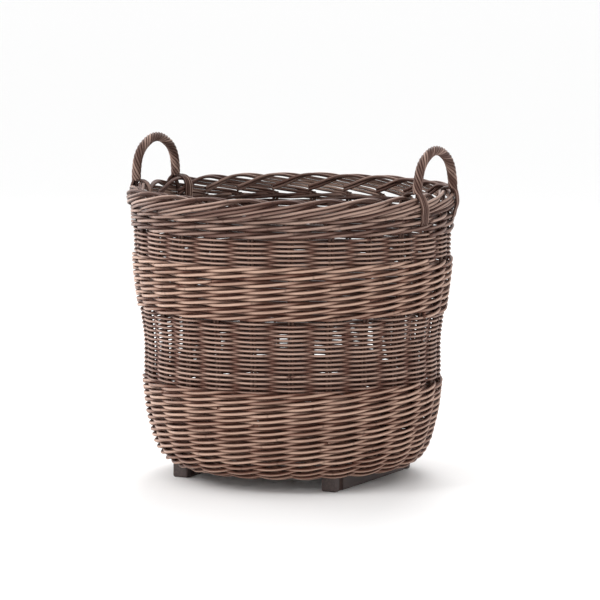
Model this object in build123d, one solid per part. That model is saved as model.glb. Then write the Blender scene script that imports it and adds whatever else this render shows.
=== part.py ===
"""Round wicker log basket on two wooden runners, with two twisted hoop handles.

Millimetres. +Z is up. The origin is on the floor, below the middle of the basket. +X points through
the two handles, and Y runs along the runners.
"""
from build123d import *
import math
import os

# Driving dimensions
STAKE_COUNT = 25          # spokes round the basket, each with a pair of stakes
STAKE_PHASE = -4.0        # angle of the first pair from +X, in degrees
STAKE_D = 5.0
PAIR_GAP = 5.4            # between the centre lines of the two stakes of a pair
WEAVER_D = 3.5            # thin cane of the randing
WALE_D = 5.2              # thick cane of the wales
RIM_R = 260.0             # outside of the border
CLEARANCE = 0.15          # between a stake and the weave round it

RUNNER_X = 132.0
RUNNER_W = 26.0
RUNNER_H = 24.0
RUNNER_L = 251.0
RUNNER_EDGE = 3.0
LASHING_D = 3.0
LASHING_TURNS = 4
LASHING_Y = 108.0         # middle of each lashing along the runner

STICK_D = 5.5             # lengthwise base stick
SPLIT_STICK_D = 8.5       # crosswise base stick, split to let the lengthwise ones through
STICKS_EACH_WAY = 6
STICK_REACH = 147.0       # radius where the base sticks end and the side stakes begin
STICK_BEND = 40.0
BASE_T = 13.0
BASE_WEAVE_IN = 42.0
BASE_WEAVE_OUT = 186.0
BASE_Z = RUNNER_H + BASE_T / 2

# The middle line of the wall, from the base to the border, as corners (r, z) and the bend at each
WALL_CORNERS = [
    (150.0, BASE_Z), (192.5, BASE_Z), (210.0, 55.0), (223.0, 104.0),
    (228.3, 160.0), (226.6, 215.0), (242.0, 325.0), (243.5, 438.0),
]
WALL_BENDS = [25.0, 60.0, 250.0, 300.0, 250.0, 400.0]
WALL_TOP_R = WALL_CORNERS[-1][0]

RAND_T = STAKE_D + 2 * WEAVER_D
WALE_T = STAKE_D + 2 * WALE_D
# Where each band of weave starts and ends, in height
BANDS = {
    "bottom_wale": (WALE_T, RUNNER_H, 158.0),
    "lower_randing": (RAND_T, 158.0, 267.0),
    "middle_wale": (WALE_T, 267.0, 350.0),
    "upper_randing": (RAND_T, 350.0, 392.0),
    "top_wale": (WALE_T, 392.0, 421.0),
}
BAND_GAP = 0.2
BORDER_Z = (424.5, 453.0)
BORDER_IN = 234.0
BORDER_ROUND = 9.0

HANDLE_X = 249.0
HANDLE_LEG_Y = 60.0
BOW_D = 7.0
ROPE_D = 15.0
BOW_BEND_Z = BORDER_Z[1] + 4.0       # where the hoop ends and each leg turns in towards the wall
BOW_BEND = 14.0
BOW_STRAIGHT = 6.0
BOW_IN_WALL_Z = 422.0
BOW_FOOT_Z = 335.0
BOW_WALL_X = math.sqrt(WALL_TOP_R ** 2 - HANDLE_LEG_Y ** 2)
# Half of each hoop's middle line above its foot, as corners (y, z) and their bends, the last at the top
HOOP_CORNERS = {
    -1: [(HANDLE_LEG_Y, 469.0), (54.0, 502.0), (0.0, 529.5)],
    1: [(HANDLE_LEG_Y, 467.0), (50.0, 500.0), (0.0, 525.0)],
}
HOOP_BENDS = [25.0, 45.0, 60.0]

# The twisted canes part above the border, and go down both sides of it into the top wale
ROPE_END_Z = BORDER_Z[1] + 10.0
TAIL_TOP_Z = ROPE_END_Z - 1.5
TAIL_D = 4.2
TAILS_PER_SIDE = 4
TAIL_SLANT = 0.45                    # how far an outside tail drifts along the border as it goes down
TAIL_GAP = 0.4                       # between a tail and the border or wale that it lies on
TAIL_OVER_Z = BORDER_Z[1] + 1.0
TAIL_CREST_Z = BORDER_Z[1] + 6.0
TAIL_UNDER_Z = BORDER_Z[0] + 2.5
TAIL_WALE_Z = 416.0
TAIL_FOOT_Z = 404.0
OUTSIDE_TAIL_BENDS = [7.0, 7.0, 6.0]
INSIDE_TAIL_BENDS = [2.5, 5.0, 5.0, 5.0]


def offset_corners(corners, distance):
    """Corners of the line parallel to a polyline, to its right when distance is positive."""
    def direction(a, b):
        length = math.dist(a, b)
        return (b[0] - a[0]) / length, (b[1] - a[1]) / length

    moved = []
    last = len(corners) - 1
    for i, (r, z) in enumerate(corners):
        before = direction(corners[max(i - 1, 0)], corners[max(i, 1)])
        after = direction(corners[min(i, last - 1)], corners[min(i + 1, last)])
        bend = 1 + before[0] * after[0] + before[1] * after[1]
        normal = (before[1] + after[1], -before[0] - after[0])
        moved.append((r + distance * normal[0] / bend, z + distance * normal[1] / bend))
    return moved


def left_turn(a, b, c):
    return (b[0] - a[0]) * (c[1] - b[1]) > (b[1] - a[1]) * (c[0] - b[0])


def parallel_line(distance):
    """The wall's middle line moved outwards by a distance, on the XZ plane."""
    corners = offset_corners(WALL_CORNERS, distance)
    bends = []
    for i, bend in enumerate(WALL_BENDS):
        outside = left_turn(*WALL_CORNERS[i:i + 3])
        bends.append(bend + distance if outside else bend - distance)
    return FilletPolyline(*[(r, 0, z) for r, z in corners], radius=bends)


def wall_face(thickness):
    """Section of the whole wall at one thickness."""
    outer = parallel_line(thickness / 2)
    inner = parallel_line(-thickness / 2)
    foot = Line(inner @ 0, outer @ 0)
    head = Line(outer @ 1, inner @ 1)
    return make_face([*outer.edges(), *inner.edges(), foot, head])


def band_ring(thickness, low, high):
    """A band of weave as a plain ring with the wall's true section between two heights."""
    width = BASE_WEAVE_OUT if low <= RUNNER_H else 0
    window = make_face(Polyline(
        (width, 0, low - BAND_GAP), (RIM_R + ROPE_D, 0, low - BAND_GAP),
        (RIM_R + ROPE_D, 0, high - BAND_GAP), (width, 0, high - BAND_GAP), close=True))
    return revolve(wall_face(thickness) & window, Axis.Z, 360)


def round_rod(path, diameter):
    """A rod of round section along a path of lines and arcs."""
    section = Plane(path @ 0, z_dir=path % 0) * Circle(diameter / 2)
    return sweep(section, path=path)


def placed_round(shape, tangential):
    """Copies of a shape at each stake pair, one each side of the spoke."""
    copies = []
    for k in range(STAKE_COUNT):
        turn = STAKE_PHASE + k * 360 / STAKE_COUNT
        for side in (-1, 1):
            copies.append(Rot(0, 0, turn) * Pos(0, side * tangential / 2, 0) * shape)
    return copies


def stakes(diameter):
    return placed_round(round_rod(parallel_line(0), diameter), PAIR_GAP)


def slath_stick(index, diameter):
    """One base stick along X: side by side with its neighbours in the middle, fanned out beyond."""
    middle = (STICKS_EACH_WAY - 1) / 2
    side = (index - middle) * SPLIT_STICK_D
    fan = math.radians((index - middle) * 90 / STICKS_EACH_WAY)
    end = (STICK_REACH * math.cos(fan), STICK_REACH * math.sin(fan))
    points = [(-end[0], end[1]), (-BASE_WEAVE_IN, side), (BASE_WEAVE_IN, side), end]
    path = FilletPolyline(*[(x, y, BASE_Z) for x, y in points], radius=STICK_BEND)
    return round_rod(path, diameter)


def base_sticks(diameter, turn):
    return [Rot(0, 0, turn) * slath_stick(i, diameter) for i in range(STICKS_EACH_WAY)]


def border_ring():
    low, high = BORDER_Z
    section = Pos((BORDER_IN + RIM_R) / 2, 0, (low + high) / 2) * Rot(90, 0, 0) * RectangleRounded(
        RIM_R - BORDER_IN, high - low, BORDER_ROUND)
    return revolve(section, Axis.Z, 360)


def runner(x):
    """A wooden skid with eased edges and a shallow notch under each lashing."""
    bar = Pos(x, 0, RUNNER_H / 2) * Box(RUNNER_W, RUNNER_L, RUNNER_H)
    bar = fillet(bar.edges(), RUNNER_EDGE)
    notch_w = LASHING_TURNS * LASHING_D + 2 * CLEARANCE
    depth = LASHING_D + CLEARANCE
    for end in (-1, 1):
        block = Pos(x, end * LASHING_Y, RUNNER_H / 2) * Box(RUNNER_W + 2, notch_w, RUNNER_H + 2)
        core = Pos(x, end * LASHING_Y, RUNNER_H / 2 + depth / 2) * Box(
            RUNNER_W - 2 * depth, notch_w + 2, RUNNER_H - depth)
        bar -= block - core
    return bar


def lashing(x, y):
    """Turns of cane laid side by side in the notch, round the sides and underneath of a runner."""
    outer = (RUNNER_W - LASHING_D) / 2
    low = LASHING_D / 2
    top = RUNNER_H - CLEARANCE
    turns = []
    for i in range(LASHING_TURNS):
        at = y + (i - (LASHING_TURNS - 1) / 2) * LASHING_D
        path = FilletPolyline(
            (x - outer, at, top), (x - outer, at, low), (x + outer, at, low), (x + outer, at, top),
            radius=LASHING_D / 2 + 0.5)
        turns.append(round_rod(path, LASHING_D - CLEARANCE))
    return turns


def bow_leg(end, x_side, diameter):
    """The part of a bow from the hoop down into the wall, on one side of the handle."""
    y = end * HANDLE_LEG_Y
    path = FilletPolyline(
        (x_side * HANDLE_X, y, BOW_BEND_Z), (x_side * HANDLE_X, y, BOW_BEND_Z - BOW_STRAIGHT),
        (x_side * BOW_WALL_X, y, BOW_IN_WALL_Z), (x_side * BOW_WALL_X, y, BOW_FOOT_Z), radius=BOW_BEND)
    return round_rod(path, diameter)


def hoop_line(x_side, low):
    """The middle line of one handle's hoop, from one foot at a height over to the other."""
    half = [(HANDLE_LEG_Y, low)] + HOOP_CORNERS[x_side]
    corners = half + [(-y, z) for y, z in reversed(half[:-1])]
    bends = HOOP_BENDS + HOOP_BENDS[-2::-1]
    return FilletPolyline(*[(x_side * HANDLE_X, y, z) for y, z in corners], radius=bends)


def handle_bow(x_side):
    hoop = round_rod(hoop_line(x_side, BOW_BEND_Z), BOW_D)
    return hoop + bow_leg(1, x_side, BOW_D) + bow_leg(-1, x_side, BOW_D)


def handle_rope(x_side):
    """The twisted canes round the bow, as a sleeve of their true outer size."""
    path = hoop_line(x_side, ROPE_END_Z)
    section = Plane(path @ 0, z_dir=path % 0) * (
        Circle(ROPE_D / 2) - Circle(BOW_D / 2 + CLEARANCE))
    return sweep(section, path=path)


def tail_shifts(slant):
    """How far each cane of a bundle lies from the middle of the leg, along the border."""
    pitch = (TAIL_D + CLEARANCE) * math.hypot(1, slant)
    return [(i - (TAILS_PER_SIDE - 1) / 2) * pitch for i in range(TAILS_PER_SIDE)]


def standing_x(radius, y):
    """Distance along X of a point at a radius from the basket's axis."""
    return math.sqrt(radius ** 2 - y ** 2)


def outside_tails(end, x_side):
    """The canes that go down outside the border, drifting along it, and are tucked into the top wale."""
    start = HANDLE_X + (BOW_D + TAIL_D) / 2 + TAIL_GAP
    border = RIM_R + TAIL_D / 2 + TAIL_GAP
    wale = WALL_TOP_R + (WALE_T + TAIL_D) / 2 + TAIL_GAP
    tails = []
    for shift in tail_shifts(TAIL_SLANT):
        top_y = end * HANDLE_LEG_Y + shift
        points = [(x_side * start, top_y, TAIL_TOP_Z)]
        for radius, z in ((border, TAIL_OVER_Z), (border, TAIL_UNDER_Z), (wale, TAIL_WALE_Z), (wale, TAIL_FOOT_Z)):
            y = top_y + x_side * TAIL_SLANT * (TAIL_TOP_Z - z)
            points.append((x_side * standing_x(radius, y), y, z))
        tails.append(round_rod(FilletPolyline(*points, radius=OUTSIDE_TAIL_BENDS), TAIL_D))
    return tails


def inside_tails(end, x_side):
    """The canes that go over the border, straight down inside it, and are tucked into the top wale."""
    start = HANDLE_X - (BOW_D + TAIL_D) / 2 - TAIL_GAP
    tails = []
    for shift in tail_shifts(0):
        y = end * HANDLE_LEG_Y + shift
        border = standing_x(BORDER_IN - TAIL_D / 2 - TAIL_GAP, y)
        wale = standing_x(WALL_TOP_R - (WALE_T + TAIL_D) / 2 - TAIL_GAP, y)
        route = [(start, TAIL_TOP_Z), (start, TAIL_CREST_Z), (border, TAIL_OVER_Z), (border, TAIL_UNDER_Z),
                 (wale, TAIL_WALE_Z), (wale, TAIL_FOOT_Z)]
        points = [(x_side * x, y, z) for x, z in route]
        tails.append(round_rod(FilletPolyline(*points, radius=INSIDE_TAIL_BENDS), TAIL_D))
    return tails


def build():
    """Every node of the basket, by name."""
    nodes = {}
    for side, x in (("left", -1), ("right", 1)):
        nodes[f"runner_{side}"] = runner(x * RUNNER_X)
        for name, end in (("front", -1), ("back", 1)):
            nodes[f"lashing_{side}_{name}"] = Compound(
                children=lashing(x * RUNNER_X, end * LASHING_Y))

    stake_rods = stakes(STAKE_D)
    stake_holes = stakes(STAKE_D + 2 * CLEARANCE)
    nodes["side_stakes"] = Compound(children=stake_rods)

    through = base_sticks(STICK_D, 0)
    split = base_sticks(SPLIT_STICK_D, 90)
    slots = base_sticks(STICK_D + 2 * CLEARANCE, 0)
    split = [stick - slots for stick in split]
    nodes["base_sticks_lengthwise"] = Compound(children=through)
    nodes["base_sticks_crosswise"] = Compound(children=split)
    base = Pos(0, 0, BASE_Z) * (
        Cylinder(BASE_WEAVE_OUT - BAND_GAP, BASE_T) - Cylinder(BASE_WEAVE_IN, BASE_T + 2))
    holes = slots + base_sticks(SPLIT_STICK_D + 2 * CLEARANCE, 90) + stake_holes
    nodes["base_weave"] = base - holes

    bow_holes = [bow_leg(end, x_side, BOW_D + 2 * CLEARANCE) for end in (-1, 1) for x_side in (-1, 1)]
    for name, (thickness, low, high) in BANDS.items():
        nodes[name] = band_ring(thickness, low, high) - (stake_holes + bow_holes)
    nodes["border"] = border_ring() - (stake_holes + bow_holes)

    for side, x_side in (("left", -1), ("right", 1)):
        nodes[f"handle_bow_{side}"] = handle_bow(x_side)
        nodes[f"handle_rope_{side}"] = handle_rope(x_side)
        for name, end in (("front", -1), ("back", 1)):
            nodes[f"outside_tails_{side}_{name}"] = Compound(children=outside_tails(end, x_side))
            nodes[f"inside_tails_{side}_{name}"] = Compound(children=inside_tails(end, x_side))
    return nodes


def main():
    os.makedirs("parts", exist_ok=True)
    for name, shape in build().items():
        export_step(shape, f"parts/{name}.step")


if __name__ == "__main__":
    main()
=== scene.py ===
"""Round wicker log basket: every cane woven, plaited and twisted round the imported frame."""
import bmesh
import bpy
import math
import random
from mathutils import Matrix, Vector


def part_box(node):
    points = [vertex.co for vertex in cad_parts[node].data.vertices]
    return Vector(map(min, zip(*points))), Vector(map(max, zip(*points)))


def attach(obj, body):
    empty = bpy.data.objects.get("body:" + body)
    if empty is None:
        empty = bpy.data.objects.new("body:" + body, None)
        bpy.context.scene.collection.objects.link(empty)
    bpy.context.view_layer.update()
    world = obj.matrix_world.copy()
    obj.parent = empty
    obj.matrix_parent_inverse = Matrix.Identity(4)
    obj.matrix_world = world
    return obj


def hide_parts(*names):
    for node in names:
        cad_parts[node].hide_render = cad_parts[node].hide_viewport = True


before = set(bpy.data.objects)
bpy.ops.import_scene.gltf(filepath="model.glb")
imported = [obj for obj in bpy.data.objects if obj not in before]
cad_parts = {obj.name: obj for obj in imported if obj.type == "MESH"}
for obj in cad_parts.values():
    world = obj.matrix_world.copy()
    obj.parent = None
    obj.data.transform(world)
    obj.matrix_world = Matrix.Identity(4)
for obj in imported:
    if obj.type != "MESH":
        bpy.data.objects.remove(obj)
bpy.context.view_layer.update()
MM = 0.001
UPWARD = Vector((0, 0, 1))

# Stakes and canes
STAKES = 25
STEP = 2 * math.pi / STAKES
PHASE = math.radians(-4.0)
STAKE_D = 5.0 * MM
PAIR_GAP = 5.4 * MM
WEAVER_D = 3.9 * MM
BORDER_CANE_D = 5.2 * MM
BASE_WEAVER_D = 3.5 * MM
STICK_D = 5.5 * MM
SPLIT_STICK_D = 8.5 * MM
BOW_D = 6.8 * MM
BINDING_D = 2.8 * MM
BASE_Z = 30.5 * MM
FLOOR_SIZE = 60.0
BORDER_IN = 234.0 * MM
# Height from one round to the next, and cane diameter, in each wale; row spacing in each randing
BOTTOM_WALE = (9.7 * MM, 5.2 * MM)
MIDDLE_WALE = (10.4 * MM, 5.3 * MM)
TOP_WALE = (9.8 * MM, 5.3 * MM)
LOWER_ROWS = 3.53 * MM
UPPER_ROWS = 3.6 * MM

# Middle line of the wall as corners (r, z), from the centre of the base to the border, and its bends
WALL_CORNERS = [(0.0, 30.5), (191.0, 30.5), (208.3, 55.0), (221.3, 104.0),
                (227.4, 160.0), (226.2, 215.0), (241.0, 325.0), (243.5, 438.0)]
WALL_BENDS = [25.0, 60.0, 250.0, 300.0, 250.0, 400.0]
WALL_TOP_R = 243.4 * MM
FLAT_BASE = 190.0 * MM       # along the middle line, before it turns up
WALE_START = 152.0 * MM      # along it, just outside the base sticks
UNDER_BORDER = 2.5 * MM


def wall_pieces():
    """The middle line as runs and arcs: start, heading, length and curvature of each."""
    corners = [Vector(corner) * MM for corner in WALL_CORNERS]
    pieces = []
    at = corners[0]
    for i in range(1, len(corners)):
        heading = (corners[i] - corners[i - 1]).normalized()
        cut = turn = 0.0
        if i < len(corners) - 1:
            after = (corners[i + 1] - corners[i]).normalized()
            turn = math.atan2(heading.x * after.y - heading.y * after.x, heading.dot(after))
            bend = WALL_BENDS[i - 1] * MM
            cut = bend * math.tan(abs(turn) / 2)
        pieces.append((at, heading, (corners[i] - at).length - cut, 0.0))
        if turn:
            at = corners[i] - heading * cut
            pieces.append((at, heading, bend * abs(turn), math.copysign(1 / bend, turn)))
            at = corners[i] + after * cut
    return pieces


WALL = wall_pieces()
WALL_LENGTH = sum(piece[2] for piece in WALL)


def wall_at(along):
    """Radius, height and slope of the wall's middle line at a distance along it."""
    for start, heading, length, curvature in WALL:
        if along <= length or start is WALL[-1][0]:
            slope = math.atan2(heading.y, heading.x)
            if not curvature:
                point = start + heading * along
                return point.x, point.y, slope
            end = slope + curvature * along
            return (start.x + (math.sin(end) - math.sin(slope)) / curvature,
                    start.y + (math.cos(slope) - math.cos(end)) / curvature, end)
        along -= length
    return None


def along_at_height(height):
    """Distance along the wall's middle line at which it reaches a height."""
    low, high = FLAT_BASE, WALL_LENGTH
    for _ in range(40):
        middle = (low + high) / 2
        if wall_at(middle)[1] < height:
            low = middle
        else:
            high = middle
    return low


def on_wall(angle, along, out):
    """A point at an angle round the basket, a distance along the wall, and out from its middle."""
    radius, height, slope = wall_at(along)
    radius += out * math.sin(slope)
    height -= out * math.cos(slope)
    return Vector((radius * math.cos(angle), radius * math.sin(angle), height))


def wall_outward(angle, along):
    slope = wall_at(along)[2]
    return Vector((math.sin(slope) * math.cos(angle), math.sin(slope) * math.sin(angle), -math.cos(slope)))


def smooth(value):
    value = min(max(value, 0.0), 1.0)
    return value * value * (3 - 2 * value)


# Canes: a cane is a list of (point, proud, outward), proud being 1 where it stands out of the weave; the
# cane skin reads proud and the facing along outward to paint a highlight on crowns and shade in recesses
# and between canes
def cane_mesh(name, canes, diameter, material, replaces, sides=8):
    """One piece made of many round canes, with a tone for each cane and its length as UV."""
    curve = bpy.data.curves.new(name + "_line", "CURVE")
    curve.dimensions = "3D"
    curve.bevel_depth = diameter / 2
    curve.bevel_resolution = (sides - 4) // 2
    curve.use_fill_caps = True
    for cane in canes:
        spline = curve.splines.new("POLY")
        spline.points.add(len(cane) - 1)
        for point, (place, _, _) in zip(spline.points, cane):
            point.co = (*place, 1.0)
    carrier = bpy.data.objects.new(name + "_line", curve)
    bpy.context.collection.objects.link(carrier)
    mesh = bpy.data.meshes.new_from_object(carrier)
    bpy.data.objects.remove(carrier)

    shades = {label: [0.3] * len(mesh.vertices) for label in ("tone", "proud", "crown")}
    at = 2 * sides * len(canes)
    for cane in canes:
        shade = random.random()
        for place, proud, outward in cane:
            for vertex in range(at, at + sides):
                side = (mesh.vertices[vertex].co - place) / (diameter / 2)
                shades["tone"][vertex] = shade
                shades["proud"][vertex] = proud
                shades["crown"][vertex] = abs(side.dot(outward))
            at += sides
    for label, values in shades.items():
        mesh.attributes.new(label, "FLOAT", "POINT").data.foreach_set("value", values)

    scale_uv_to_length(mesh, canes, sides)
    form = bmesh.new()
    form.from_mesh(mesh)
    bmesh.ops.remove_doubles(form, verts=form.verts, dist=diameter / 500)
    bmesh.ops.recalc_face_normals(form, faces=form.faces)
    form.to_mesh(mesh)
    form.free()
    mesh.polygons.foreach_set("use_smooth", [True] * len(mesh.polygons))
    piece = bpy.data.objects.new(name, mesh)
    bpy.context.collection.objects.link(piece)
    mesh.materials.append(material)
    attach(piece, "root")
    if replaces:
        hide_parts(*replaces)
    return piece


def scale_uv_to_length(mesh, canes, sides):
    """Turn the UV along each cane from 0 to 1 into metres."""
    lengths = []
    for cane in canes:
        places = [place for place, _, _ in cane]
        lengths.append(sum((b - a).length for a, b in zip(places, places[1:])))
    layer = mesh.uv_layers[0].data
    face = 0
    cap_faces = 2 * (sides - 2) * len(canes)
    for index, cane in enumerate(canes):
        strip = (len(cane) - 1) * sides
        first = mesh.polygons[cap_faces + face].loop_start
        for corner in range(first, first + strip * 4):
            uv = layer[corner].uv
            uv.x = uv.x * lengths[index] + index * 0.37
        face += strip


# Weaves, each a list of canes in wall coordinates
def jitter(amount):
    return random.uniform(-amount, amount)


def randing(start, end, pitch, diameter, steps=7):
    """One weaver, in front of one stake and behind the next, joined from lengths of cane."""
    reach = (STAKE_D + diameter) / 2
    rows = round((end - start) / pitch)
    pitch = (end - start) / rows
    total = rows * STAKES
    canes = []
    first = 0
    while first < total:
        length = min(random.randint(STAKES, 2 * STAKES), total - first)
        cane = []
        drift = jitter(0.08 * pitch)
        for i in range(length * steps + 1):
            stakes = first + i / steps
            along = start + pitch * (stakes / STAKES + 0.5) - pitch / 2
            wave = math.cos(math.pi * stakes)
            out = reach * wave * (1 + 0.3 * (1 - wave * wave))
            if i % steps == 0:
                drift += jitter(0.07 * pitch) - 0.3 * drift
            angle = PHASE + stakes * STEP
            place = on_wall(angle, along + 0.8 * drift, out)
            cane.append((place, 0.5 + 0.5 * out / reach, wall_outward(angle, along)))
        canes.append(cane)
        first += length
    return canes


def pairing(start, end, pitch, diameter, count, phase, steps=7):
    """Two weavers worked together, which cross between the spokes."""
    reach = (STAKE_D + diameter) / 2
    rows = round((end - start) / pitch)
    pitch = (end - start) / rows
    step = 2 * math.pi / count
    canes = []
    for side in (1, -1):
        cane = []
        for i in range(rows * count * steps + 1):
            stakes = i / steps
            along = start + pitch * stakes / count
            wave = side * math.cos(math.pi * stakes)
            rise = side * math.sin(math.pi * stakes) * diameter * 0.55
            angle = phase + stakes * step
            place = on_wall(angle, along + rise, reach * wave)
            cane.append((place, 0.5 + 0.5 * wave, wall_outward(angle, along)))
        canes.append(cane)
    return canes


def waling(start, end, pitch, diameter, wobble=0.05, steps=7):
    """Three weavers, each bowed out in front of two stakes and behind one, rising to the right."""
    behind = (STAKE_D + diameter) / 2
    rows = round((end - start) / pitch)
    pitch = (end - start) / rows
    total = rows * STAKES
    canes = []
    for weaver in range(3):
        first = 0
        while first < total:
            length = min(random.randint(STAKES, 2 * STAKES), total - first)
            cane = []
            drift = 0.0
            for i in range(length * steps + 1):
                stakes = first + i / steps
                phase = 2 * math.pi * (stakes - weaver) / 3
                bow = -math.cos(phase)
                out = behind * (1 + 4 * bow) / 3
                rise = -0.55 * diameter * math.sin(phase)
                along = start + pitch * (stakes / STAKES + 0.5) - pitch / 2
                if i % steps == 0:
                    drift += jitter(wobble * pitch) - 0.3 * drift
                angle = PHASE + stakes * STEP
                place = on_wall(angle, along + rise + drift, out)
                cane.append((place, 0.5 + 0.5 * bow, wall_outward(angle, along)))
            canes.append(cane)
            first += length
    return canes


def stake_pairs():
    """The rods that the weavers pass, two at each spoke, from the base up to the border."""
    canes = []
    start, end = 0.150, WALL_LENGTH - 14 * MM
    steps = 90
    for stake in range(STAKES):
        for side in (-1, 1):
            cane = []
            for i in range(steps + 1):
                along = start + (end - start) * i / steps
                radius = wall_at(along)[0]
                angle = PHASE + stake * STEP + side * PAIR_GAP / 2 / radius
                # A low proud value: the skin paints the stakes partly in shade behind the weavers.
                cane.append((on_wall(angle, along, 0.0), 0.25, wall_outward(angle, along)))
            canes.append(cane)
    return canes


def border_canes():
    """Stake pairs bent down to the right: out, up across the front, over the top and down inside."""
    # along the border in stake spacings, radius and height of the middle of the pair, and its lean
    route = [(-0.15, 243.4, 416.0, 90), (0.08, 244.0, 422.0, 70), (0.40, 249.5, 425.5, 25),
             (0.85, 254.6, 429.4, 5), (1.35, 256.4, 435.0, 0), (1.85, 256.6, 440.0, 0),
             (2.22, 255.2, 444.2, -15), (2.55, 250.6, 448.8, -50), (2.88, 244.2, 451.4, -85),
             (3.20, 239.8, 449.8, -110), (3.50, 237.0, 443.8, -145), (3.80, 236.2, 436.4, -165),
             (4.10, 236.4, 430.4, -175)]
    steps = 6
    canes = []
    for stake in range(STAKES):
        lift = jitter(0.8)
        for side in (-1, 1):
            cane = []
            for i in range((len(route) - 1) * steps + 1):
                knot, part = divmod(i, steps)
                before, here, after, beyond = (
                    route[min(max(knot + k, 0), len(route) - 1)] for k in (-1, 0, 1, 2))
                t = part / steps
                values = [catmull(before[k], here[k], after[k], beyond[k], t) for k in range(4)]
                spacing, radius, height, lean = values
                lean = math.radians(lean)
                apart = side * PAIR_GAP / 2
                radius = radius * MM + apart * math.sin(-lean) * (lean < 0)
                angle = PHASE + (stake + spacing) * STEP
                angle -= apart * max(math.sin(lean), 0) / radius
                height = (height + lift * smooth(spacing)) * MM + apart * math.cos(lean)
                place = Vector((radius * math.cos(angle), radius * math.sin(angle), height))
                facing = Vector((math.cos(angle), math.sin(angle), 0.0)) * (radius - 246 * MM)
                facing.z = height - 434 * MM
                # proud rises toward the outside of the border, so the skin paints its inner side in shade
                # and its outer crowns with a highlight.
                cane.append((place, 0.4 + 0.5 * smooth((radius - 0.238) / 0.016), facing.normalized()))
            canes.append(cane)
    return canes


def catmull(a, b, c, d, t):
    """A smooth value between b and c."""
    return 0.5 * (2 * b + (c - a) * t + (2 * a - 5 * b + 4 * c - d) * t * t
                  + (3 * b - a - 3 * c + d) * t ** 3)


# Base sticks: side by side in the middle, fanned out as spokes
STICKS_EACH_WAY = 6
STICK_REACH = 147.0 * MM
STICK_STRAIGHT = 42.0 * MM


def base_stick_canes(turn):
    canes = []
    for index in range(STICKS_EACH_WAY):
        place_in_row = index - (STICKS_EACH_WAY - 1) / 2
        side = place_in_row * SPLIT_STICK_D
        fan = math.radians(place_in_row * 90 / STICKS_EACH_WAY)
        cane = []
        steps = 60
        for i in range(steps + 1):
            run = -1 + 2 * i / steps
            x = run * STICK_REACH
            beyond = max(abs(x) - STICK_STRAIGHT, 0) / (STICK_REACH - STICK_STRAIGHT)
            spread = beyond + 0.12 * math.sin(math.pi * beyond)
            y = side + (STICK_REACH * math.sin(fan) - side) * spread
            x *= 1 - (1 - math.cos(fan)) * beyond
            point = Vector((x * math.cos(turn) - y * math.sin(turn),
                            x * math.sin(turn) + y * math.cos(turn), BASE_Z))
            cane.append((point, 0.5, UPWARD))
        canes.append(cane)
    return canes


# Handles
HANDLE_LEG_Y = 60.0
HOOPS = {-1: ((60.0, 469.0), (54.0, 502.0), (0.0, 529.5)), 1: ((60.0, 467.0), (50.0, 500.0), (0.0, 525.0))}
HOOP_BENDS = (25.0, 45.0, 60.0, 45.0, 25.0)
HOOP_FOOT_Z = 457.0
ROPE_CANE_D = 3.95 * MM
ROPE_CANES = 8
TWIST_R = 5.5 * MM
TWIST_PITCH = 64.0 * MM
TAIL_SLANT = 0.45


def hoop_points(side, steps=120):
    """The hoop's middle line in its own plane (y, z), evenly spaced, with its heading."""
    half = [(HANDLE_LEG_Y, HOOP_FOOT_Z), *HOOPS[side]]
    hoop = [Vector(corner) for corner in half + [(-y, z) for y, z in reversed(half[:-1])]]
    runs = []
    at = hoop[0]
    for i in range(1, len(hoop)):
        corner, bend = hoop[i], 0.0
        heading = (corner - hoop[i - 1]).normalized()
        cut = turn = 0.0
        if i < len(hoop) - 1:
            bend = HOOP_BENDS[i - 1]
            after = (hoop[i + 1] - corner).normalized()
            turn = math.atan2(heading.x * after.y - heading.y * after.x, heading.dot(after))
            cut = bend * math.tan(abs(turn) / 2)
        runs.append((at, heading, (corner - at).length - cut, 0.0))
        if turn:
            runs.append((corner - heading * cut, heading, bend * abs(turn), turn / abs(turn) / bend))
            at = corner + after * cut
    total = sum(run[2] for run in runs)
    points = []
    for i in range(steps + 1):
        left = total * i / steps
        for start, heading, length, curvature in runs:
            if left <= length + 1e-9 or start is runs[-1][0]:
                break
            left -= length
        slope = math.atan2(heading.y, heading.x)
        if curvature:
            end = slope + curvature * left
            place = start + Vector((math.sin(end) - math.sin(slope),
                                    math.cos(slope) - math.cos(end))) / curvature
            slope = end
        else:
            place = start + heading * left
        points.append((place * MM, slope, total * i / steps * MM))
    return points, total * MM


def handle_canes(side, x, border_in, border_out):
    """Eight canes twisted round the bow, each ending in a tail outside or inside the border."""
    points, length = hoop_points(side)
    canes = []
    turns = round(length / TWIST_PITCH * ROPE_CANES) / ROPE_CANES
    for index in range(ROPE_CANES):
        cane = []
        offset = 2 * math.pi * (index + 0.5) / ROPE_CANES
        for place, slope, along in points:
            angle = side * offset + 2 * math.pi * side * turns * along / length
            across = TWIST_R * math.sin(angle)
            out = TWIST_R * math.cos(angle)
            point = Vector((x + side * out, place.x - across * math.sin(slope),
                            place.y + across * math.cos(slope)))
            middle = Vector((x, place.x, place.y))
            # Facing out from the bow's axis: the skin paints shade in the grooves of the twist and a
            # highlight on each cane's crown.
            cane.append((point, 0.75, (point - middle).normalized()))
        head = tail_points(cane[0][0], side, x, 1, border_in, border_out, cane[1][0])
        foot = tail_points(cane[-1][0], side, x, -1, border_in, border_out, cane[-2][0])
        canes.append(list(reversed(head)) + cane + foot)
    return canes


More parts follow.
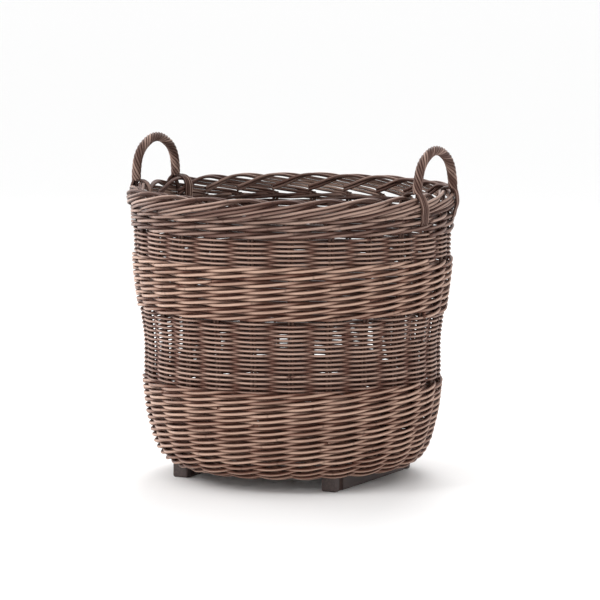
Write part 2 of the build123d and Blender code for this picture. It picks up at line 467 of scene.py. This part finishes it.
def tail_points(start, side, x, end, border_in, border_out, before):
    """From a cane's place round the bow down over the border, to where it is tucked into the wale."""
    outside = (start.x - x) * side > 0
    across = start.y - end * HANDLE_LEG_Y * MM
    places = [TWIST_R * math.cos(math.pi * (k + 0.5) / 4) for k in range(4)]
    order = min(range(4), key=lambda k: abs(places[k] - across))
    spread = (1.5 - order) * ROPE_CANE_D * 1.05
    wall = WALL_TOP_R
    if outside:
        slant = TAIL_SLANT * side
        spread *= math.hypot(1, TAIL_SLANT)
        route = [(451.0, border_out + 1.4 * MM, 0.3), (442.0, border_out + 2.2 * MM, 0.6),
                 (432.0, border_out + 1.6 * MM, 0.85), (421.0, wall + 14.0 * MM, 1.0),
                 (412.5, wall + 11.5 * MM, 1.0), (407.0, wall + 8.0 * MM, 1.0)]
    else:
        slant = 0.0
        route = [(456.0, border_in + 9.5 * MM, 0.3), (451.5, border_in + 2.5 * MM, 0.6),
                 (443.0, border_in - 1.2 * MM, 0.85), (433.0, border_in - 1.6 * MM, 1.0),
                 (422.0, wall - 10.6 * MM, 1.0), (411.0, wall - 10.4 * MM, 1.0),
                 (401.0, wall - 6.0 * MM, 1.0)]
    knots = [before, start]
    for height, radius, part in route:
        drift = (HOOP_FOOT_Z - height) * MM * slant
        y = end * HANDLE_LEG_Y * MM + across * (1 - part) + spread * part + drift
        knots.append(Vector((side * math.sqrt(radius ** 2 - y ** 2), y, height * MM)))
    knots.append(knots[-1] + (knots[-1] - knots[-2]))
    points = []
    steps = 5
    outward = Vector((side if outside else -side, 0, 0))
    for k in range(1, len(knots) - 2):
        for i in range(1, steps + 1):
            t = i / steps
            points.append((Vector([catmull(*(knots[k + m][c] for m in (-1, 0, 1, 2)), t)
                                   for c in range(3)]), 0.75, outward))
    return points


def bow_canes(side, x):
    points, _ = hoop_points(side, 60)
    y = HANDLE_LEG_Y * MM
    wall_x = math.sqrt(WALL_TOP_R ** 2 - y ** 2)
    leg = [(x, 451.0), (x - side * 3 * MM, 443.0), (side * (wall_x + 4 * MM), 430.0),
           (side * wall_x, 421.0), (side * wall_x, 380.0), (side * wall_x, 336.0)]
    cane = [(Vector((px, y, pz * MM)), 0.4, UPWARD) for px, pz in reversed(leg)]
    cane += [(Vector((x, place.x, place.y)), 0.4, UPWARD) for place, _, _ in points]
    cane += [(Vector((px, -y, pz * MM)), 0.4, UPWARD) for px, pz in leg]
    return [cane]


# Lashings: turns of thin cane round a runner, up into the base
def lashing_canes(low, high, turns=4):
    canes = []
    width = (high[0] - low[0])
    pitch = (high[1] - low[1]) / turns
    radius = pitch / 2
    left, right = low[0] + radius, high[0] - radius
    corner = 3.0 * MM
    for turn in range(turns):
        y = low[1] + (turn + 0.5) * pitch
        lean = jitter(0.6 * MM)
        cane = []
        for rise in (9.0, 6.0, 3.0, 0.0, -6.0, -12.0, -17.5):
            cane.append((Vector((left, y + lean, high[2] + rise * MM)), 0.6, UPWARD))
        for i in range(7):
            angle = math.pi / 2 * i / 6
            cane.append((Vector((left + corner * (1 - math.cos(angle)), y,
                                 low[2] + radius + corner * (1 - math.sin(angle)))), 0.6, UPWARD))
        for i in range(7):
            angle = math.pi / 2 * (1 - i / 6)
            cane.append((Vector((right - corner * (1 - math.cos(angle)), y,
                                 low[2] + radius + corner * (1 - math.sin(angle)))), 0.6, UPWARD))
        for rise in (-17.5, -12.0, -6.0, 0.0, 3.0, 6.0, 9.0):
            cane.append((Vector((right, y - lean, high[2] + rise * MM)), 0.6, UPWARD))
        canes.append(cane)
    return canes


# Shader groups
def new_group(name, inputs, outputs):
    group = bpy.data.node_groups.new(name, "ShaderNodeTree")
    for label, kind, value in inputs:
        socket = group.interface.new_socket(label, in_out="INPUT", socket_type=kind)
        socket.default_value = value
    for label, kind in outputs:
        group.interface.new_socket(label, in_out="OUTPUT", socket_type=kind)
    return group, group.nodes.new("NodeGroupInput"), group.nodes.new("NodeGroupOutput")


def math_node(tree, operation, a, b=None, clamp=False):
    node = tree.nodes.new("ShaderNodeMath")
    node.operation = operation
    node.use_clamp = clamp
    for socket, value in zip(node.inputs, (a, b)):
        if value is None:
            continue
        if isinstance(value, (int, float)):
            socket.default_value = value
        else:
            tree.links.new(value, socket)
    return node.outputs[0]


def mix_colour(tree, factor, a, b, blend="MIX"):
    node = tree.nodes.new("ShaderNodeMix")
    node.data_type = "RGBA"
    node.blend_type = blend
    for socket, value in ((node.inputs[0], factor), (node.inputs[6], a), (node.inputs[7], b)):
        if isinstance(value, (int, float, tuple)):
            socket.default_value = value
        else:
            tree.links.new(value, socket)
    return node.outputs[2]


def ramp(tree, factor, low, high, to_low=0.0, to_high=1.0):
    node = tree.nodes.new("ShaderNodeMapRange")
    node.interpolation_type = "SMOOTHSTEP"
    for socket, value in zip(node.inputs, (None, low, high, to_low, to_high)):
        if value is not None:
            socket.default_value = value
    tree.links.new(factor, node.inputs[0])
    return node.outputs[0]


def noise(tree, vector, scale, detail=3.0, rough=0.55):
    node = tree.nodes.new("ShaderNodeTexNoise")
    node.inputs["Scale"].default_value = scale
    node.inputs["Detail"].default_value = detail
    node.inputs["Roughness"].default_value = rough
    tree.links.new(vector, node.inputs["Vector"])
    return node.outputs["Fac"]


def cane_skin_group():
    """Stained cane: fibres along its length, growth joints, worn crowns with a painted highlight, and
    painted shade in the hollows and along the sides of each cane.
    """
    group, source, sink = new_group(
        "cane skin",
        [("Stain", "NodeSocketColor", (0.2, 0.12, 0.08, 1)),
         ("Worn and Highlight", "NodeSocketColor", (0.6, 0.4, 0.3, 1)),
         ("Joint Dirt and Gap Shade", "NodeSocketColor", (0.03, 0.02, 0.01, 1)), ("Crown Wear and Highlight", "NodeSocketFloat", 0.5),
         ("Spread", "NodeSocketFloat", 0.5)],
        [("Color", "NodeSocketColor"), ("Roughness", "NodeSocketFloat"), ("Height", "NodeSocketFloat")])
    uv = group.nodes.new("ShaderNodeUVMap")
    tone = attribute(group, "tone")
    proud = attribute(group, "proud")
    crown = attribute(group, "crown")
    split = group.nodes.new("ShaderNodeSeparateXYZ")
    group.links.new(uv.outputs[0], split.inputs[0])
    along, around = split.outputs[0], split.outputs[1]

    def stretched(along_scale, around_scale, seed):
        angle = math_node(group, "MULTIPLY", around, 2 * math.pi)
        node = group.nodes.new("ShaderNodeCombineXYZ")
        group.links.new(math_node(group, "MULTIPLY", along, along_scale), node.inputs[0])
        turn_x = math_node(group, "MULTIPLY", math_node(group, "COSINE", angle), around_scale)
        turn_y = math_node(group, "MULTIPLY", math_node(group, "SINE", angle), around_scale)
        shifted = math_node(group, "ADD", turn_x, math_node(group, "MULTIPLY", tone, seed))
        group.links.new(shifted, node.inputs[1])
        group.links.new(turn_y, node.inputs[2])
        return node.outputs[0]

    fibre = noise(group, stretched(38, 3.2, 51.0), 1.6, 4.0, 0.6)
    streak = noise(group, stretched(9, 1.1, 23.0), 1.3, 3.0, 0.5)
    patch = noise(group, stretched(22, 0.5, 87.0), 1.0, 2.0, 0.5)

    joint_at = math_node(group, "FRACT", math_node(group, "ADD", math_node(
        group, "MULTIPLY", along, 4.3), math_node(group, "MULTIPLY", tone, 9.7)))
    from_joint = math_node(group, "ABSOLUTE", math_node(group, "SUBTRACT", joint_at, 0.5))
    joint = ramp(group, from_joint, 0.0, 0.012, 1.0, 0.0)

    # Partly wear and partly a painted highlight: the outward crowns of proud canes are lightened toward
    # the pale colour.
    worn_and_lit_crowns = math_node(group, "MULTIPLY", ramp(group, proud, 0.40, 0.95), ramp(group, crown, 0.45, 1.0))

    def about_zero(value, amount):
        return math_node(group, "MULTIPLY", math_node(group, "SUBTRACT", value, 0.5), amount)

    worn_and_highlight = math_node(group, "MULTIPLY", worn_and_lit_crowns, source.outputs["Crown Wear and Highlight"])
    worn_and_highlight = math_node(group, "ADD", worn_and_highlight, about_zero(tone, source.outputs["Spread"]))
    worn_and_highlight = math_node(group, "ADD", worn_and_highlight, about_zero(streak, 1.1))
    worn_and_highlight = math_node(group, "ADD", worn_and_highlight, about_zero(patch, 0.7), True)
    colour = mix_colour(group, worn_and_highlight, source.outputs["Stain"], source.outputs["Worn and Highlight"])
    colour = mix_colour(group, ramp(group, fibre, 0.35, 0.75, 0.0, 0.45), colour, source.outputs["Stain"])
    # Painted shade: canes that pass behind the stakes, and the sides of every cane where it meets its
    # neighbours, are darkened toward the dark colour.
    painted_gap_shade = math_node(group, "MAXIMUM", ramp(group, proud, 0.05, 0.5, 0.7, 0.0),
                       ramp(group, crown, 0.05, 0.65, 0.85, 0.0))
    colour = mix_colour(group, painted_gap_shade, colour, source.outputs["Joint Dirt and Gap Shade"])
    colour = mix_colour(group, math_node(group, "MULTIPLY", joint, 0.35), colour, source.outputs["Joint Dirt and Gap Shade"])
    group.links.new(colour, sink.inputs["Color"])
    group.links.new(ramp(group, fibre, 0.2, 0.8, 0.42, 0.62), sink.inputs["Roughness"])
    height = math_node(group, "ADD", fibre, math_node(group, "MULTIPLY", joint, 0.8))
    group.links.new(height, sink.inputs["Height"])
    return group


def attribute(tree, name):
    node = tree.nodes.new("ShaderNodeAttribute")
    node.attribute_name = name
    return node.outputs["Fac"]


def base_material(name):
    material = bpy.data.materials.new(name)
    material.use_nodes = True
    tree = material.node_tree
    shader = tree.nodes["Principled BSDF"]
    return material, tree, shader


def add_bump(tree, shader, height, strength, distance):
    bump = tree.nodes.new("ShaderNodeBump")
    bump.inputs["Strength"].default_value = strength
    bump.inputs["Distance"].default_value = distance
    tree.links.new(height, bump.inputs["Height"])
    tree.links.new(bump.outputs[0], shader.inputs["Normal"])


# The pale colour and its crown amount give wear and a painted highlight on the crowns; the dark colour
# gives the growth joints and painted shade in the gaps.
def cane_material(name, group, stain, worn_and_highlight, crown_wear_and_highlight, spread, joint_dirt_and_gap_shade=(0.020, 0.006, 0.003, 1)):
    material, tree, shader = base_material(name)
    skin = tree.nodes.new("ShaderNodeGroup")
    skin.node_tree = group
    skin.inputs["Stain"].default_value = (*stain, 1)
    skin.inputs["Worn and Highlight"].default_value = (*worn_and_highlight, 1)
    skin.inputs["Joint Dirt and Gap Shade"].default_value = joint_dirt_and_gap_shade
    skin.inputs["Crown Wear and Highlight"].default_value = crown_wear_and_highlight
    skin.inputs["Spread"].default_value = spread
    tree.links.new(skin.outputs["Color"], shader.inputs["Base Color"])
    tree.links.new(skin.outputs["Roughness"], shader.inputs["Roughness"])
    shader.inputs["Specular IOR Level"].default_value = 0.22
    add_bump(tree, shader, skin.outputs["Height"], 0.35, 0.25 * MM)
    return material


def runner_material():
    """Dark stained wood with the grain along the runner."""
    material, tree, shader = base_material("runner wood")
    place = tree.nodes.new("ShaderNodeTexCoord")
    mapping = tree.nodes.new("ShaderNodeMapping")
    mapping.inputs["Scale"].default_value = (220, 9, 220)
    tree.links.new(place.outputs["Object"], mapping.inputs["Vector"])
    grain = noise(tree, mapping.outputs[0], 1.0, 5.0, 0.6)
    broad = noise(tree, place.outputs["Object"], 22.0, 3.0)
    colour = mix_colour(tree, ramp(tree, grain, 0.3, 0.72), (0.026, 0.016, 0.014, 1),
                        (0.085, 0.058, 0.052, 1))
    colour = mix_colour(tree, ramp(tree, broad, 0.35, 0.75, 0.0, 0.5), colour, (0.055, 0.037, 0.034, 1))
    tree.links.new(colour, shader.inputs["Base Color"])
    tree.links.new(ramp(tree, grain, 0.2, 0.8, 0.45, 0.7), shader.inputs["Roughness"])
    add_bump(tree, shader, grain, 0.4, 0.4 * MM)
    return material


SKIN = cane_skin_group()
WALE_CANE = cane_material("wale cane", SKIN, (0.120, 0.048, 0.031), (0.57, 0.385, 0.295), 0.82, 0.55)
RAND_CANE = cane_material("randing cane", SKIN, (0.105, 0.045, 0.031), (0.53, 0.360, 0.285), 0.74, 0.45)
STAKE_CANE = cane_material("stake cane", SKIN, (0.10, 0.050, 0.036), (0.38, 0.25, 0.19), 0.5, 0.4)
BORDER_CANE = cane_material("border cane", SKIN, (0.090, 0.042, 0.031), (0.49, 0.340, 0.275), 0.64, 0.75)
HANDLE_CANE = cane_material("handle cane", SKIN, (0.090, 0.045, 0.034), (0.47, 0.320, 0.26), 0.55, 0.85)
BINDING_CANE = cane_material("binding cane", SKIN, (0.10, 0.065, 0.055), (0.30, 0.22, 0.19), 0.4, 0.4)
RUNNER_WOOD = runner_material()


def band_limits(node):
    low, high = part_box(node)
    return along_at_height(low[2]), along_at_height(high[2])


def weave_wale(node, start, end, rounds, material):
    pitch, diameter = rounds
    canes = waling(start, end, pitch, diameter)
    cane_mesh(f"{node}_weave", canes, diameter, material, [node])


def weave_rand(node, pitch):
    start, end = band_limits(node)
    canes = randing(start, end, pitch, WEAVER_D)
    cane_mesh(f"{node}_weave", canes, WEAVER_D, RAND_CANE, [node])


def weave_wall():
    random.seed(11)
    _, end = band_limits("bottom_wale")
    weave_wale("bottom_wale", WALE_START, end, BOTTOM_WALE, WALE_CANE)
    weave_rand("lower_randing", LOWER_ROWS)
    start, end = band_limits("middle_wale")
    weave_wale("middle_wale", start, end, MIDDLE_WALE, WALE_CANE)
    weave_rand("upper_randing", UPPER_ROWS)
    start, end = band_limits("top_wale")
    weave_wale("top_wale", start, end + UNDER_BORDER, TOP_WALE, BORDER_CANE)
    cane_mesh("side_stake_rods", stake_pairs(), STAKE_D, STAKE_CANE, ["side_stakes"])
    cane_mesh("plaited_border", border_canes(), BORDER_CANE_D, BORDER_CANE, ["border"])


def weave_base():
    random.seed(12)
    spokes = 4 * STICKS_EACH_WAY
    rows = pairing(50.0 * MM, STICK_REACH, 7.0 * MM, BASE_WEAVER_D, spokes, math.pi / spokes)
    cane_mesh("base_pairing", rows, BASE_WEAVER_D, RAND_CANE, ["base_weave"])
    cane_mesh("lengthwise_sticks", base_stick_canes(0.0), STICK_D, STAKE_CANE,
              ["base_sticks_lengthwise"])
    cane_mesh("crosswise_sticks", base_stick_canes(math.pi / 2), SPLIT_STICK_D, STAKE_CANE,
              ["base_sticks_crosswise"])


def twist_handles():
    random.seed(13)
    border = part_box("border")
    for name, side in (("left", -1), ("right", 1)):
        low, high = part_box(f"handle_rope_{name}")
        x = (low[0] + high[0]) / 2
        nodes = [f"handle_rope_{name}"] + [
            f"{place}_tails_{name}_{end}" for place in ("outside", "inside") for end in ("front", "back")]
        cane_mesh(f"twisted_handle_{name}", handle_canes(side, x, BORDER_IN, border[1][1]), ROPE_CANE_D,
                  HANDLE_CANE, nodes)
        cane_mesh(f"bow_rod_{name}", bow_canes(side, x), BOW_D, STAKE_CANE,
                  [f"handle_bow_{name}"])


def tie_runners():
    random.seed(14)
    for side in ("left", "right"):
        for end in ("front", "back"):
            node = f"lashing_{side}_{end}"
            low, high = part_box(node)
            cane_mesh(f"cane_{node}", lashing_canes(low, high), BINDING_D, BINDING_CANE,
                      [node])
        runner = bpy.data.objects[f"runner_{side}"]
        runner.data.materials.clear()
        runner.data.materials.append(RUNNER_WOOD)


def build_floor():
    form = bmesh.new()
    bmesh.ops.create_grid(form, x_segments=2, y_segments=2, size=FLOOR_SIZE)
    mesh = bpy.data.meshes.new("floor")
    form.to_mesh(mesh)
    form.free()
    floor = bpy.data.objects.new("floor", mesh)
    bpy.context.collection.objects.link(floor)
    material, tree, shader = base_material("floor paint")
    shader.inputs["Base Color"].default_value = (0.86, 0.86, 0.86, 1)
    shader.inputs["Roughness"].default_value = 0.6
    mesh.materials.append(material)


def area_light(name, place, aim, size, power):
    light = bpy.data.lights.new(name, "AREA")
    light.size = size
    light.energy = power
    item = bpy.data.objects.new(name, light)
    item.location = place
    item.rotation_euler = (Vector(aim) - Vector(place)).to_track_quat("-Z", "Y").to_euler()
    bpy.context.collection.objects.link(item)


def light_scene():
    world = bpy.data.worlds.new("studio")
    world.use_nodes = True
    world.node_tree.nodes["Background"].inputs[0].default_value = (1, 1, 1, 1)
    world.node_tree.nodes["Background"].inputs[1].default_value = 1.12
    bpy.context.scene.world = world
    bpy.context.scene.view_settings.view_transform = "Standard"
    area_light("key", (-1.6, -2.4, 2.2), (0, 0, 0.2), 1.2, 42)
    area_light("back", (-0.8, 2.2, 2.6), (0, 0, 0.4), 1.6, 45)
    area_light("side", (-3.0, 0.4, 1.0), (0, 0, 0.3), 1.6, 30)


def place_camera():
    """Seven degrees down on the basket, with the right-hand handle nearer."""
    camera = bpy.data.cameras.new("camera")
    camera.lens = 195
    camera.sensor_width = 36
    item = bpy.data.objects.new("camera", camera)
    place = Vector((2.453, -4.425, 0.893))
    aim = Vector((0.0103, 0.0057, 0.274))
    item.location = place
    item.rotation_euler = (aim - place).to_track_quat("-Z", "Y").to_euler()
    bpy.context.collection.objects.link(item)
    bpy.context.scene.camera = item


weave_wall()
weave_base()
twist_handles()
tie_runners()
build_floor()
light_scene()
place_camera()
